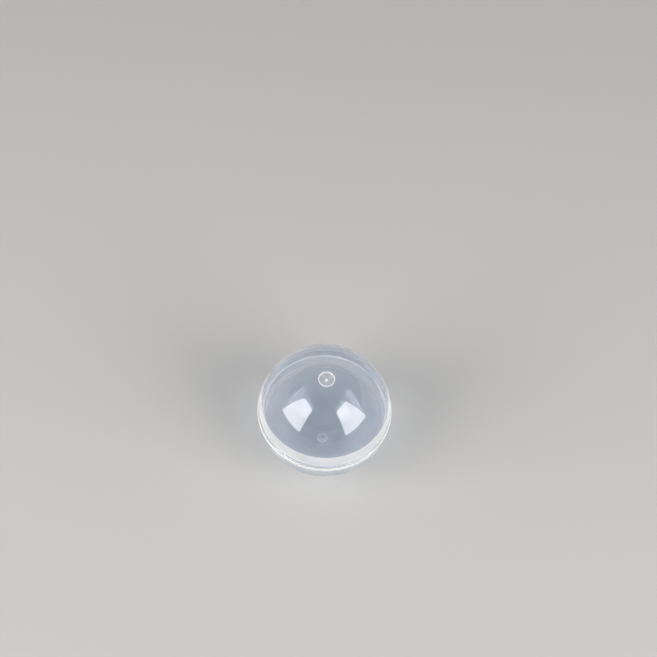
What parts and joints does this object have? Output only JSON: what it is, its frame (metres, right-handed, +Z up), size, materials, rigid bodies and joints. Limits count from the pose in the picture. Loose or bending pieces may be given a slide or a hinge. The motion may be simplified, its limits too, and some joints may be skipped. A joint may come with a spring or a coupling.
{
  "type": "two-part ball capsule",
  "caption": "Hollow translucent plastic ball that opens at its equator: a cap lifts off a lower shell's neck.",
  "frame": {"origin": "centre of the flat land around the lower gate mark, which the ball stands on", "axes": "+Z up along the common axis of both shells; X and Y are equal, as the part is round"},
  "size_m": [0.05, 0.05, 0.049],
  "materials": {
    "lower_plastic": "moulded natural polypropylene, clear with a light milky haze, glossy",
    "upper_plastic": "moulded natural polypropylene, clear with a light milky haze, glossy"
  },
  "bodies": {
    "base": {"lower_shell": "lower_plastic"},
    "cap": {"upper_shell": "upper_plastic"}
  },
  "joints": [
    {"name": "cap_lift", "type": "slide", "parent": "base", "child": "cap", "axis": [0, 0, 1], "range_m": [0, 0.03]}
  ]
}
